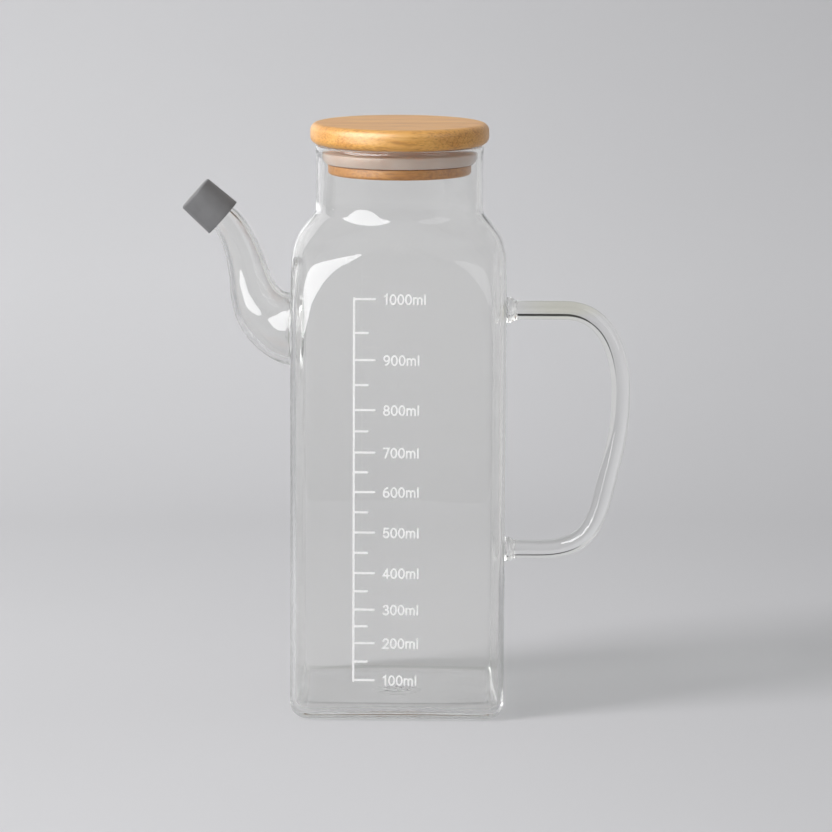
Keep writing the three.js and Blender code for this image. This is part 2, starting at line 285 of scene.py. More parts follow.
class Shell:
    """Points in millimetres and the faces between them, for one mesh."""

    def __init__(self):
        self.points = []
        self.faces = []

    def ring(self, points):
        first = len(self.points)
        self.points.extend(points)
        return list(range(first, len(self.points)))

    def bridge(self, low, high, skip=()):
        """Faces between two rings of as many points, without the columns in skip."""
        count = len(low)
        for i in range(count):
            if i not in skip:
                after = (i + 1) % count
                self.faces.append((low[i], low[after], high[after], high[i]))

    def bridge_all(self, rings):
        for low, high in zip(rings, rings[1:]):
            self.bridge(low, high)

    def fan(self, ring):
        """Closes a ring with a point in its middle."""
        middle = sum((self.points[i] for i in ring), Vector()) / len(ring)
        (tip,) = self.ring([middle])
        for a, b in zip(ring, ring[1:] + ring[:1]):
            self.faces.append((a, b, tip))

    def round_middle(self, loop, middle):
        """A loop's points as (angle, index), in order round a middle across X and back to the first."""
        offsets = [(i, self.points[i] - middle) for i in loop]
        row = sorted((math.atan2(offset.z, offset.y), i) for i, offset in offsets)
        return row + [(row[0][0] + 2 * math.pi, row[0][1])]

    def patch(self, edge, hole):
        """Fills the flat ground between an outer loop and a round hole, both in a plane across X."""
        middle = sum((self.points[i] for i in hole), Vector()) / len(hole)
        outer, inner = self.round_middle(edge, middle), self.round_middle(hole, middle)
        a = b = 0
        while a + 1 < len(outer) or b + 1 < len(inner):
            if b + 1 == len(inner) or (a + 1 < len(outer) and outer[a + 1] <= inner[b + 1]):
                self.faces.append((outer[a][1], outer[a + 1][1], inner[b][1]))
                a += 1
            else:
                self.faces.append((inner[b][1], outer[a][1], inner[b + 1][1]))
                b += 1

    def make(self, name, material, smooth=True):
        mesh = bpy.data.meshes.new(name)
        mesh.from_pydata([point * MM for point in self.points], [], self.faces)
        work = bmesh.new()
        work.from_mesh(mesh)
        loose = [vertex for vertex in work.verts if not vertex.link_faces]
        bmesh.ops.delete(work, geom=loose, context="VERTS")
        bmesh.ops.recalc_face_normals(work, faces=work.faces)
        for face in work.faces:
            face.smooth = smooth
        work.to_mesh(mesh)
        work.free()
        mesh.materials.append(material)
        made = bpy.data.objects.new(name, mesh)
        bpy.context.scene.collection.objects.link(made)
        return made


def lerp(a, b, share):
    return a + (b - a) * share


def bezier(controls, share):
    """The point of a Bezier curve with any number of control points."""
    row = list(controls)
    while len(row) > 1:
        row = [lerp(a, b, share) for a, b in zip(row, row[1:])]
    return row[0]


def bezier_points(controls, steps):
    return [bezier(controls, i / steps) for i in range(steps + 1)]


def solve(measure, target, low, high):
    """Where a rising measure reaches a target, found by halving."""
    for _ in range(HALVINGS):
        middle = (low + high) / 2
        if measure(middle) < target:
            low = middle
        else:
            high = middle
    return (low + high) / 2


def round_angles(sides):
    return [4 * QUARTER * i / sides for i in range(sides)]


# Body


def size_at(lower, upper, heights, z):
    """A size that leaves and arrives upright along a Bezier curve of size against height."""
    share = solve(lambda t: bezier(heights, t), z, 0, 1)
    return bezier((lower, lower, upper, upper), share)


def side_at(z):
    return size_at(BODY_HALF, NECK_RADIUS, SHOULDER, z)


def diagonal_at(z):
    return side_at(z) + (math.sqrt(2) - 1) * size_at(FACE_HALF, 0, FACE_ARCH, z)


def wall_across(size, z, wall):
    """How far the inner skin lies in from the outer one, level, where the wall slopes."""
    step = 0.1
    slope = (size(z + step) - size(z - step)) / (2 * step)
    return wall * math.hypot(1, slope)


def section_radius(half, face, direction):
    """The distance from the axis to a rounded square's edge, each side flat for face both ways."""
    turn = abs(direction - QUARTER * round(direction / QUARTER))
    if half * math.tan(turn) <= face:
        return half / math.cos(turn)
    reach = face * (math.cos(turn) + math.sin(turn))
    return reach + math.sqrt(reach**2 - 2 * face**2 + (half - face) ** 2)


def section_directions():
    edge = math.atan(FACE_HALF / BODY_HALF)
    directions = []
    for side in range(4):
        for i in range(FACE_STEPS):
            directions.append(side * QUARTER - edge + 2 * edge * i / FACE_STEPS)
        for i in range(CORNER_STEPS):
            directions.append(side * QUARTER + edge + (QUARTER - 2 * edge) * i / CORNER_STEPS)
    return directions


DIRECTIONS = section_directions()


def section(half, face, z):
    points = []
    for direction in DIRECTIONS:
        radius = section_radius(half, face, direction)
        points.append(Vector((radius * math.cos(direction), radius * math.sin(direction), z)))
    return points


def vessel_levels(depth, floor):
    """Sections of the vessel's skin at a depth in the wall, as (half, face, z), from floor to neck."""
    levels = []
    heel = HEEL_RADIUS - depth
    for i in range(HEEL_STEPS + 1):
        angle = QUARTER * i / HEEL_STEPS
        half = BODY_HALF - depth - heel * (1 - math.sin(angle))
        levels.append((half, FACE_HALF, floor + heel * (1 - math.cos(angle))))
    heel_top = levels[-1][2]
    for i in range(1, STRAIGHT_STEPS):
        levels.append((BODY_HALF - depth, FACE_HALF, lerp(heel_top, FACE_ARCH[0], i / STRAIGHT_STEPS)))
    for i in range(SHOULDER_STEPS + 1):
        z = bezier(FACE_ARCH, i / SHOULDER_STEPS)
        half = side_at(z) - wall_across(side_at, z, depth)
        diagonal = diagonal_at(z) - wall_across(diagonal_at, z, depth)
        levels.append((half, max(0, (diagonal - half) / (math.sqrt(2) - 1)), z))
    return levels


def pontil(point):
    """How far the uneven mark in the middle of a base is raised at a point."""
    distance = point.xy.length
    inward = max(0.0, 1 - (distance / PONTIL_RADIUS) ** 2)
    wave = math.sin(PONTIL_LOBES * math.atan2(point.y, point.x) + distance)
    return PONTIL * inward**2 * (1 + PONTIL_UNEVEN * wave)


def base_rings(level):
    """Rings from the middle of a base out to its first level, closer together near the middle."""
    half, face, z = level
    rings = []
    for i in range(1, BOTTOM_RINGS):
        share = (i / BOTTOM_RINGS) ** RING_CROWDING
        flat = section(half * share, face * share, z)
        rings.append([point + Vector((0, 0, pontil(point))) for point in flat])
    return rings


def sagging(points):
    """Points of the inside, where the floor is thinner towards its corners."""
    inner_heel = HEEL_RADIUS - WALL
    sagged = []
    for point in points:
        fade = min(1.0, max(0.0, 1 - (point.z - FLOOR) / inner_heel))
        corner = min(1.0, abs(point.x * point.y) / FACE_HALF**2)
        sagged.append(point - Vector((0, 0, CORNER_SAG * fade * corner**CORNER_SAG_POWER)))
    return sagged


def rim_radii():
    """The rim's radius and height, from the outside of the neck over its top to the inside."""
    lip = NECK_RADIUS + RIM_BEAD
    crest = Vector((NECK_RADIUS - WALL / 2, RIM_TOP))
    bore = NECK_RADIUS - WALL
    outside = (
        Vector((NECK_RADIUS, RIM_TOP - RIM_HEIGHT)),
        Vector((lip, RIM_TOP - RIM_HEIGHT / 2)),
        Vector((lip, RIM_TOP)),
        crest,
    )
    inside = (crest, Vector((bore, RIM_TOP)), Vector((bore, RIM_TOP - RIM_INSIDE)))
    return bezier_points(outside, RIM_STEPS) + bezier_points(inside, RIM_STEPS)[1:]


def neck_levels(radius, rim):
    """Radius and height from the foot of the neck up to a rim, without either end."""
    return [(radius, lerp(NECK_FOOT, rim, i / NECK_STEPS)) for i in range(1, NECK_STEPS)]


def columns_within(side, reach):
    """The columns of faces on one side whose points lie within reach of the side's middle."""
    first = side * (FACE_STEPS + CORNER_STEPS)
    found = []
    for i in range(first, first + FACE_STEPS):
        across = [BODY_HALF * math.tan(DIRECTIONS[k] - side * QUARTER) for k in (i, i + 1)]
        if max(map(abs, across)) <= reach:
            found.append(i)
    return found


def open_block(shell, rings, side, height, reach):
    """Leaves a rectangle open in a flat side, round a height, and gives its edge and its faces' keys."""
    columns = columns_within(side, reach)
    levels = [shell.points[ring[columns[0]]].z for ring in rings]
    near = [abs(level - height) <= reach for level in levels]
    rows = [i for i in range(len(rings) - 1) if near[i] and near[i + 1]]
    left, right = columns[0], columns[-1] + 1
    low, high = rows[0], rows[-1] + 1
    edge = [rings[low][i] for i in range(left, right)]
    edge += [rings[i][right] for i in range(low, high)]
    edge += [rings[high][i] for i in range(right, left, -1)]
    edge += [rings[i][left] for i in range(high, low, -1)]
    return edge, {(row, column) for row in rows for column in columns}


def bridge_open(shell, rings, blocks):
    """Faces over a stack of rings, without the blocks that were left open."""
    for row, (low, high) in enumerate(zip(rings, rings[1:])):
        shell.bridge(low, high, {column for at, column in blocks if at == row})


# Spout


def catmull(values, share):
    """A uniform Catmull-Rom spline through the values."""
    place = share * (len(values) - 1)
    at = min(int(place), len(values) - 2)
    t = place - at
    before = values[max(at - 1, 0)]
    a, b = values[at], values[at + 1]
    after = values[min(at + 2, len(values) - 1)]
    start, end = (b - before) / 2, (after - a) / 2
    return (2 * a - 2 * b + start + end) * t**3 + (3 * b - 3 * a - 2 * start - end) * t**2 + start * t + a


class Horn:
    """A round horn in the XZ plane through stations of (x, z, radius)."""

    def __init__(self, stations):
        self.centres = [Vector((x, z)) for x, z, _ in stations]
        self.radii = [radius for _, _, radius in stations]

    def point(self, share, angle, grow=0.0):
        step = 1e-4
        centre = catmull(self.centres, share)
        ahead = catmull(self.centres, min(1, share + step)) - catmull(self.centres, max(0, share - step))
        ahead.normalize()
        radius = catmull(self.radii, share) + grow
        across = radius * math.cos(angle)
        return Vector((centre.x + ahead.y * across, radius * math.sin(angle), centre.y - ahead.x * across))

    def share_at(self, x, angle):
        """Where a line along the skin crosses a plane across X, in the first half of the horn."""
        return solve(lambda share: -self.point(share, angle).x, -x, 0, 0.5)


def station_in_cap(distance, radius):
    """A spout station on the cap's axis, at a distance above the cap's mouth."""
    x, z = CAP_MOUTH
    return (x - math.cos(CAP_RISE) * distance, z + math.sin(CAP_RISE) * distance, radius)


def horn_into_cap(stations, tip):
    """A horn through the stations and on along the cap's axis, to the foot of the spout's lip."""
    joint = (stations[-1][2] + tip) / 2
    return Horn((
        *stations,
        station_in_cap(-SPOUT_BELOW_CAP, joint),
        station_in_cap(SPOUT_IN_CAP - SPOUT_LIP, tip),
    ))


def spout_passage():
    """The horn inside the spout. It starts within the body, past the wall."""
    last = len(SPOUT_STATIONS) - 1
    inner = []
    for i, (x, z, radius) in enumerate(SPOUT_STATIONS):
        wall = lerp(SPOUT_WALL_ROOT, SPOUT_WALL_TIP, math.sqrt(i / last))
        inner.append((x, z, radius - wall))
    x, z, radius = inner[0]
    return horn_into_cap([(x + PASSAGE_OVERRUN, z, radius)] + inner[1:], SPOUT_TIP_RADIUS - SPOUT_WALL_TIP)


def ripple_at(angle, waves, wander, turns):
    """An uneven wave round a ring, from -1 to 1."""
    return math.sin(waves * angle + wander * math.sin(turns * angle))


def horn_rings(shell, horn, wall_x, weld, ripple):
    """Rings from a fillet on the wall's plane out along the horn. The first lies in the plane."""
    angles = round_angles(SPOUT_SIDES)
    crossing = [horn.point(horn.share_at(wall_x, angle), angle) for angle in angles]
    middle = sum(crossing, Vector()) / SPOUT_SIDES
    starts = [horn.share_at(wall_x - weld, angle) for angle in angles]
    fillets = []
    for angle, corner, start in zip(angles, crossing, starts):
        outward = (corner - middle).normalized()
        fillets.append((corner + outward * weld, corner, horn.point(start, angle)))
    rings = []
    for i in range(WELD_STEPS):
        share = i / WELD_STEPS
        ring = []
        for angle, controls in zip(angles, fillets):
            point = bezier(controls, share)
            rough = ripple * math.sin(math.pi * share) * ripple_at(angle, *WELD_WAVES)
            ring.append(point + (point - middle).normalized() * rough)
        rings.append(shell.ring(ring))
    for i in range(SPOUT_STEPS + 1):
        share = i / SPOUT_STEPS
        fade = max(0.0, 1 - share / RIPPLE_REACH)
        ring = []
        for angle, start in zip(angles, starts):
            rough = ripple * fade * ripple_at(angle, *HORN_WAVES)
            ring.append(horn.point(lerp(start, 1, share), angle, rough))
        rings.append(shell.ring(ring))
    return rings


def spout_lip(shell):
    """The round lip that joins the spout's skin to its passage, as one ring on its crest."""
    x, z, radius = station_in_cap(SPOUT_IN_CAP, SPOUT_TIP_RADIUS - SPOUT_WALL_TIP / 2)
    crest = []
    for angle in round_angles(SPOUT_SIDES):
        across = radius * math.cos(angle)
        crest.append(Vector((
            x + math.sin(CAP_RISE) * across,
            radius * math.sin(angle),
            z + math.cos(CAP_RISE) * across,
        )))
    return shell.ring(crest)


# Handle


def handle_controls():
    """The control points of the handle's curves, from the upper root to the lower one."""
    top, reach, slant, foot = map(Vector, (HANDLE_TOP, HANDLE_REACH, HANDLE_SLANT, HANDLE_FOOT))
    level, upright = Vector((1, 0)), Vector((0, 1))
    slanting = Vector((math.sin(HANDLE_SLANT_ANGLE), math.cos(HANDLE_SLANT_ANGLE)))
    return (
        (Vector((BODY_HALF, top.y)), top),
        (top, top + level * HANDLE_TOP_EASE, reach + upright * HANDLE_REACH_EASE[0], reach),
        (reach, reach - upright * HANDLE_REACH_EASE[1], slant + slanting * HANDLE_SLANT_EASE[0], slant),
        (slant, slant - slanting * HANDLE_SLANT_EASE[1], foot + level * HANDLE_FOOT_EASE, foot),
        (foot, Vector((BODY_HALF, foot.y))),
    )


def weld_ring(height, distance, radius):
    """A ring of a handle's weld, a little uneven, at a distance from the wall."""
    bulge = BEAD_UNEVEN * math.sin(math.pi * min(1, distance / WELD_BEAD[-1][0]))
    points = []
    for angle in round_angles(HANDLE_SIDES):
        wave = math.sin(BEAD_LOBES[0] * angle + BEAD_TWIST * distance + height)
        wave *= math.cos(BEAD_LOBES[1] * angle + distance)
        reach = radius * (1 + bulge * wave)
        points.append(Vector((
            BODY_HALF + distance,
            -reach * math.sin(angle),
            height + reach * math.cos(angle),
        )))
    return points


def handle_rings(shell):
    """Rings along the handle. The first and the last lie in the wall's plane."""
    bead = ((0.0, WELD_FLARE),) + WELD_BEAD
    root, *bends, foot = handle_controls()
    rod_end = BODY_HALF + WELD_BEAD[-1][0] + WELD_CLEAR
    start, end = Vector((rod_end, root[0].y)), Vector((rod_end, foot[0].y))
    path = bezier_points((start, root[1]), ARC_STEPS)[:-1]
    for bend in bends:
        path += bezier_points(bend, HANDLE_STEPS)[:-1]
    path += bezier_points((foot[0], end), ARC_STEPS)
    rings = [shell.ring(weld_ring(start.y, distance, radius)) for distance, radius in bead]
    for i, centre in enumerate(path):
        ahead = (path[min(i + 1, len(path) - 1)] - path[max(i - 1, 0)]).normalized()
        ring = []
        for angle in round_angles(HANDLE_SIDES):
            across = HANDLE_RADIUS * math.cos(angle)
            aside = -HANDLE_RADIUS * math.sin(angle)
            ring.append(Vector((centre.x - ahead.y * across, aside, centre.y + ahead.x * across)))
        rings.append(shell.ring(ring))
    half = HANDLE_SIDES // 2
    for distance, radius in reversed(bead):
        points = weld_ring(end.y, distance, radius)
        rings.append(shell.ring([points[(half - i) % HANDLE_SIDES] for i in range(HANDLE_SIDES)]))
    return rings


def glass_bottle(material):
    """The whole glass as one closed skin: body, rim, spout, passage and handle."""
    shell = Shell()
    outside = vessel_levels(0, 0)
    inside = vessel_levels(WALL, FLOOR)
    neck = neck_levels(NECK_RADIUS, RIM_TOP - RIM_HEIGHT)
    bore = neck_levels(NECK_RADIUS - WALL, RIM_TOP - RIM_INSIDE)

    outer = [shell.ring(points) for points in base_rings(outside[0])]
    outer += [shell.ring(section(*level)) for level in outside]
    outer += [shell.ring(section(radius, 0, z)) for radius, z in neck + rim_radii()]
    inner = [shell.ring(sagging(points)) for points in base_rings(inside[0])]
    inner += [shell.ring(sagging(section(*level))) for level in inside]
    inner += [shell.ring(section(radius, 0, z)) for radius, z in bore]
    shell.bridge(outer[-1], inner[-1])
    shell.fan(outer[0])
    shell.fan(inner[0])

    spout_skin = horn_into_cap(SPOUT_STATIONS, SPOUT_TIP_RADIUS)
    spout = horn_rings(shell, spout_skin, -BODY_HALF, SPOUT_WELD, RIPPLE)
    passage = horn_rings(shell, spout_passage(), -BODY_HALF + WALL, PASSAGE_WELD, 0.0)
    handle = handle_rings(shell)
    lip = spout_lip(shell)
    shell.bridge_all(spout + [lip])
    shell.bridge_all(passage + [lip])
    shell.bridge_all(handle)

    spout_height = SPOUT_STATIONS[1][1]
    spout_edge, spout_block = open_block(shell, outer, SPOUT_FACE, spout_height, SPOUT_PATCH)
    top_edge, top_block = open_block(shell, outer, HANDLE_FACE, HANDLE_TOP[1], HANDLE_PATCH)
    foot_edge, foot_block = open_block(shell, outer, HANDLE_FACE, HANDLE_FOOT[1], HANDLE_PATCH)
    passage_edge, passage_block = open_block(shell, inner, SPOUT_FACE, spout_height, SPOUT_PATCH)
    bridge_open(shell, outer, spout_block | top_block | foot_block)
    bridge_open(shell, inner, passage_block)
    shell.patch(spout_edge, spout[0])
    shell.patch(passage_edge, passage[0])
    shell.patch(top_edge, handle[0])
    shell.patch(foot_edge, handle[-1])
    return shell.make("bottle_glass", material)


# Turned pieces


def arc(centre, radius, start, end):
    """Points of radius and height on an arc, with angles in quarter turns."""
    points = []
    for i in range(ARC_STEPS + 1):
        angle = QUARTER * lerp(start, end, i / ARC_STEPS)
        points.append((centre[0] + radius * math.cos(angle), centre[1] + radius * math.sin(angle)))
    return points


def subdivided(profile, longest):
    """The profile with points added, so that no step between two of them is too long."""
    points = [profile[0]]
    for (r0, z0), (r1, z1) in zip(profile, profile[1:]):
        steps = max(1, math.ceil(math.hypot(r1 - r0, z1 - z0) / longest))
        points += [(lerp(r0, r1, i / steps), lerp(z0, z1, i / steps)) for i in range(1, steps + 1)]
    return points


def turned(name, profile, material, closed=False):
    """A piece turned about Z from a profile of radius and height, shut by fans unless it's a ring."""
    shell = Shell()
    angles = round_angles(LATHE_SIDES)
    rings = []
    for radius, z in profile:
        ring = [Vector((radius * math.cos(angle), radius * math.sin(angle), z)) for angle in angles]
        rings.append(shell.ring(ring))
    shell.bridge_all(rings)
    if closed:
        shell.bridge(rings[-1], rings[0])
    else:
        shell.fan(rings[0])
        shell.fan(rings[-1])
    return shell.make(name, material)


def bamboo_lid(material):
    under = RIM_TOP + LID_GAP
    top = under + LID_THICKNESS
    side = LID_RADIUS - LID_EDGE
    plug = PLUG_FLANGE_RADIUS - PLUG_EDGE
    profile = [(LID_FAN, PLUG_BOTTOM)]
    profile += arc((plug, PLUG_BOTTOM + PLUG_EDGE), PLUG_EDGE, -1, 0)
    profile += arc((PLUG_FLANGE_RADIUS - LID_SOFT, PLUG_FLANGE_TOP - LID_SOFT), LID_SOFT, 0, 1)
    profile += [(PLUG_CORE_RADIUS, PLUG_FLANGE_TOP), (PLUG_CORE_RADIUS, under)]
    profile += arc((side, under + LID_EDGE), LID_EDGE, -1, 0)
    profile += arc((side, top - LID_EDGE), LID_EDGE, 0, 1)
    profile += [(LID_FAN, top)]
    return turned("lid_bamboo", subdivided(profile, LATHE_STEP), material)


def silicone_seal(material):
    bottom = PLUG_FLANGE_TOP + SEAL_GAP
    inner = PLUG_CORE_RADIUS + SEAL_GAP
    crest = Vector((SEAL_LIP_RADIUS, bottom + SEAL_LIP_CREST))
    swell = (Vector((SEAL_BODY_RADIUS, bottom)), Vector((SEAL_LIP_RADIUS, bottom + SEAL_LIP_EASE)), crest)
    lip_top = bottom + SEAL_LIP_TOP
    turn_in = (crest, Vector((SEAL_LIP_RADIUS, lip_top)), Vector((SEAL_BODY_RADIUS, lip_top)))
    lip = bezier_points(swell, LIP_STEPS) + bezier_points(turn_in, LIP_STEPS)[1:]
    profile = [(inner, bottom), *map(tuple, lip), (SEAL_BODY_RADIUS, RIM_TOP), (inner, RIM_TOP)]
    return turned("seal_silicone", subdivided(profile, LATHE_STEP), material, closed=True)


def spout_cap(material):
    ceiling = CAP_LENGTH - CAP_END_THICKNESS
    profile = [(CAP_FAN, ceiling), (CAP_BORE - CAP_MOUTH_EDGE, ceiling), (CAP_BORE, ceiling - CAP_MOUTH_EDGE)]
    profile += arc((CAP_BORE + CAP_MOUTH_EDGE, CAP_MOUTH_EDGE), CAP_MOUTH_EDGE, -2, -1)
    profile += arc((CAP_MOUTH_RADIUS - CAP_MOUTH_EDGE, CAP_MOUTH_EDGE), CAP_MOUTH_EDGE, -1, 0)
    profile += arc((CAP_END_RADIUS - CAP_EDGE, CAP_LENGTH - CAP_EDGE), CAP_EDGE, 0, 1)
    profile += [(CAP_FAN, CAP_LENGTH)]
    cap = turned("cap_silicone", subdivided(profile, LATHE_STEP), material)
    lean = Matrix.Rotation(CAP_RISE - QUARTER, 4, "Y")
    cap.data.transform(Matrix.Translation((CAP_MOUTH[0] * MM, 0, CAP_MOUTH[1] * MM)) @ lean)
    return cap


# Printed scale: every glyph is a few strokes in a box one unit tall


def curve(x, y, across, up, start, end, steps=GLYPH_STEPS):
    """Points on an oval arc, with angles in quarter turns from the right."""
    points = []
    for i in range(steps + 1):
        angle = QUARTER * lerp(start, end, i / steps)
        points.append((x + across * math.cos(angle), y + up * math.sin(angle)))
    return points


def oval(x, y, across, up):
    return curve(x, y, across, up, 0, 4, OVAL_STEPS)


GLYPHS = {
    "0": (0.60, [oval(0.3, 0.5, 0.27, 0.47)]),
    "1": (0.44, [[(0.06, 0.80), (0.28, 0.97), (0.28, 0.03)]]),
    "2": (0.60, [curve(0.3, 0.71, 0.26, 0.26, 1.85, -0.4) + [(0.05, 0.03), (0.57, 0.03)]]),
    "3": (0.60, [curve(0.29, 0.74, 0.23, 0.23, 1.7, -0.95), curve(0.28, 0.28, 0.28, 0.25, 0.95, -1.75)]),
    "4": (0.62, [[(0.42, 0.03), (0.42, 0.97)], [(0.42, 0.97), (0.04, 0.28), (0.59, 0.28)]]),
    "5": (0.60, [[(0.53, 0.97), (0.13, 0.97), (0.09, 0.50)], curve(0.29, 0.33, 0.27, 0.30, 1.5, -1.75)]),
    "6": (0.60, [curve(0.5, 0.45, 0.46, 0.52, 1.1, 2), oval(0.3, 0.30, 0.26, 0.27)]),
    "7": (0.58, [[(0.03, 0.97), (0.55, 0.97), (0.20, 0.03)]]),
    "8": (0.60, [oval(0.3, 0.74, 0.22, 0.23), oval(0.3, 0.27, 0.27, 0.24)]),
    "9": (0.60, [curve(0.1, 0.55, 0.46, 0.52, -0.9, 0), oval(0.3, 0.70, 0.26, 0.27)]),
    "m": (0.92, [
        [(0.05, 0.03), (0.05, 0.68)],
        curve(0.25, 0.48, 0.2, 0.2, 2, 0) + [(0.45, 0.03)],
        curve(0.65, 0.48, 0.2, 0.2, 2, 0) + [(0.85, 0.03)],
    ]),
    "l": (0.16, [[(0.08, 0.03), (0.08, 0.97)]]),
}


def stroke(shell, points, width, layer=0):
    """A flat ribbon of even width along points of (x, z), with round ends, a little proud of the glass.

    Strokes that cross lie in layers of their own, so that no two faces share a plane.
    """
    line = [Vector(point) for point in points]
    shut = (line[0] - line[-1]).length < width * SHUT_WITHIN
    if shut:
        line = line[:-1]
    left, right = [], []
    count = len(line)
    for i, point in enumerate(line):
        before = line[i - 1] if shut or i > 0 else point
        after = line[(i + 1) % count] if shut or i < count - 1 else point
        turns = [step.normalized() for step in (point - before, after - point) if step.length > 0]
        ahead = sum(turns, Vector((0, 0))).normalized()
        reach = width / 2 / max(MITRE_LEAST, ahead.dot(turns[0]))
        aside = Vector((-ahead.y, ahead.x)) * reach
        left.append(point + aside)
        right.append(point - aside)
    if shut:
        outlines = (left, right)
    else:
        outlines = (right + round_end(line[-1], right[-1]) + left[::-1] + round_end(line[0], left[0]),)
    front, back = [], []
    sides = ((front, -PRINT_PROUD - layer * PRINT_STEP), (back, PRINT_SUNK + layer * PRINT_STEP))
    for outline in outlines:
        for rings, depth in sides:
            rings.append(shell.ring([Vector((x, depth - BODY_HALF, z)) for x, z in outline]))
    for near, far in zip(front, back):
        shell.bridge(near, far)
    if shut:
        shell.bridge(front[0], front[1])
        shell.bridge(back[0], back[1])
    else:
        for ring in (front[0], back[0]):
            fill_flat(shell, ring)


def round_end(centre, start):
    """Points half round a stroke's end, between its two sides."""
    spoke = start - centre
    points = []
    for i in range(1, END_STEPS):
        turn = Matrix.Rotation(2 * QUARTER * i / END_STEPS, 2)
        points.append(centre + turn @ spoke)
    return points


def fill_flat(shell, ring):
    """Fills a ring that lies in a plane across Y."""
    loop = [Vector((shell.points[i].x, shell.points[i].z, 0)) for i in ring]
    for corners in tessellate_polygon([loop]):
        shell.faces.append(tuple(ring[i] for i in corners))


def label(shell, text, x, z):
    """A line of glyphs from x on, with its middle at the height z."""
    for glyph in text:
        width, strokes = GLYPHS[glyph]
        for layer, points in enumerate(strokes):
            drawn = [(x + px * DIGIT_HEIGHT, z + (py - 0.5) * DIGIT_HEIGHT) for px, py in points]
            stroke(shell, drawn, STROKE_WIDTH, layer)
        x += (width + GLYPH_GAP) * DIGIT_HEIGHT


def volume_scale(material):
    shell = Shell()
    half = TICK_WIDTH / 2
    stroke(shell, [(SCALE_LINE, SCALE_MARKS[0] - half), (SCALE_LINE, SCALE_MARKS[-1] + half)], TICK_WIDTH)
    for i, z in enumerate(SCALE_MARKS):
        stroke(shell, [(SCALE_LINE + half, z), (SCALE_LINE + LONG_TICK, z)], TICK_WIDTH, layer=1)
        label(shell, f"{MARK_STEP * (i + 1)}ml", LABEL_START, z - LABEL_DROP)
    for low, high in zip(SCALE_MARKS, SCALE_MARKS[1:]):
        middle = (low + high) / 2
        if high == SCALE_MARKS[-1]:
            middle -= TOP_SHORT_TICK_DROP
        stroke(shell, [(SCALE_LINE + half, middle), (SCALE_LINE + SHORT_TICK, middle)], TICK_WIDTH, layer=1)
    return shell.make("volume_scale", material, smooth=False)


# Materials


def new_material(name):
    made = bpy.data.materials.new(name)
    made.use_nodes = True
    made.node_tree.nodes.clear()
    return made, made.node_tree


def add(tree, kind, settings=(), **inputs):
    """A shader node with its settings, and its inputs by name: a socket is linked, a value is set."""
    node = tree.nodes.new("ShaderNode" + kind)
    for key, value in dict(settings).items():
        setattr(node, key, value)
    for key, value in inputs.items():
        socket = node.inputs[int(key[1:])] if key[0] == "_" else node.inputs[key.replace("_", " ")]
        if isinstance(value, bpy.types.NodeSocket):
            tree.links.new(value, socket)
        else:
            socket.default_value = value
    return node


def finish_material(tree, surface):
    output = tree.nodes.new("ShaderNodeOutputMaterial")
    tree.links.new(surface.outputs[0], output.inputs["Surface"])


def colour(red, green, blue):
    """A colour given as the eye sees it on a screen, from 0 to 255."""
    return tuple((value / 255) ** SCREEN_GAMMA for value in (red, green, blue)) + (1.0,)


def ramp(tree, factor, *stops):
    node = add(tree, "ValToRGB", _0=factor)
    row = node.color_ramp.elements
    row[0].position, row[0].color = stops[0]
    row[1].position, row[1].color = stops[-1]
    for place, tone in stops[1:-1]:
        row.new(place).color = tone
    return node.outputs["Color"]


def noise(tree, vector, scale=1.0, detail=2.0, roughness=0.5):
    node = add(tree, "TexNoise", Vector=vector, Scale=scale, Detail=detail, Roughness=roughness)
    return node.outputs["Fac"]


def stretched(tree, scale, turn=0.0):
    """Object coordinates turned about Z and scaled, for a texture that runs one way."""
    place = add(tree, "TexCoord").outputs["Object"]
    return add(tree, "Mapping", Vector=place, Rotation=Euler((0, 0, turn)), Scale=scale).outputs["Vector"]


def object_place(tree):
    """The X, Y and Z of object coordinates, in metres."""
    return add(tree, "SeparateXYZ", Vector=add(tree, "TexCoord").outputs["Object"]).outputs


def maths(tree, operation, first, second):
    return add(tree, "Math", {"operation": operation}, _0=first, _1=second).outputs[0]


def blended(tree, share, first, second, blend="MIX"):
    """The first colour with the second blended in by a share."""
    node = add(tree, "MixRGB", {"blend_type": blend}, Fac=share, Color1=first, Color2=second)
    return node.outputs["Color"]


def rescaled(tree, value, start=0.0, end=1.0, low=0.0, high=1.0, **settings):
    """Goes from low to high while a value goes from start to end, and no further."""
    node = add(tree, "MapRange", settings, Value=value, From_Min=start, From_Max=end, To_Min=low, To_Max=high)
    return node.outputs[0]


def between(tree, value, low, high, ease):
    """One where a value is between two others, and zero away from there."""
    rise = rescaled(tree, value, low - ease, low, interpolation_type="SMOOTHSTEP")
    fall = rescaled(tree, value, high + ease, high, interpolation_type="SMOOTHSTEP")
    return maths(tree, "MULTIPLY", rise, fall)


def glass_itself(tree):
    """The glass that is seen: faintly uneven as blown glass is, deeper in tone in its thick floor, and with a
    painted olive tone on the handle's top arm.
    """
    place = stretched(tree, (1, 1, 0.4))
    waves = noise(tree, place, scale=38.0, detail=1.0)
    relief = add(tree, "Bump", Strength=0.12, Distance=0.0006, Height=waves).outputs["Normal"]
    cloud = noise(tree, place, scale=9.0)
    tint = ramp(tree, cloud, (0.3, colour(250, 250, 249)), (0.7, colour(253, 253, 252)))
    spot = object_place(tree)
    # The thick floor's green, then the painted olive on the handle's top arm
    for tone, (low, high, ease), beyond in THICK_FLOOR_AND_PAINTED_TINTS:
        level = between(tree, spot["Z"], low, high, ease)
        side = between(tree, spot["X"], beyond, GLASS_TINT_X_END, GLASS_TINT_X_EASE)
        tint = blended(tree, maths(tree, "MULTIPLY", level, side), tint, colour(*tone))
    return add(
        tree, "BsdfPrincipled", Base_Color=tint, Normal=relief, Roughness=0.0, IOR=1.47,
        Transmission_Weight=1.0,
    )


